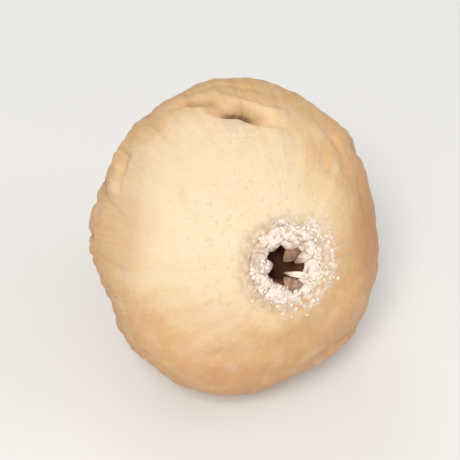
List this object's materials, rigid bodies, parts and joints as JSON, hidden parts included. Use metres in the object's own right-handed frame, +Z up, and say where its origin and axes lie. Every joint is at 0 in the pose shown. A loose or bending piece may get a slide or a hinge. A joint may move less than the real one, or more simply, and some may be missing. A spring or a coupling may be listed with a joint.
{
  "type": "dried fig",
  "caption": "Whole dried fig with pleated skin, a ring of pale scales round its open eye, a short neck and a cut stalk, lying on its belly and the stalk's tip.",
  "frame": {"origin": "on the surface that the fig lies on, under the middle of its bounding box", "axes": "+Z up; the fig's axis lies in the YZ plane, with the eye at the -Y end and up, and the neck and stalk towards +Y and down to the surface; +X is to the right for someone who looks at the eye"},
  "size_m": [0.0266, 0.0326, 0.0277],
  "materials": {
    "skin": "dry, matt to satin skin, cream on the front and tan to orange-tan in the folds",
    "stalk_wood": "dry, rough, dark brown woody stub with a cut end",
    "scales": "papery, whitish, crusted with dried sugar"
  },
  "bodies": {
    "root": {"fig_body": "skin", "stalk": "stalk_wood", "eye_scales": "scales"}
  },
  "joints": []
}
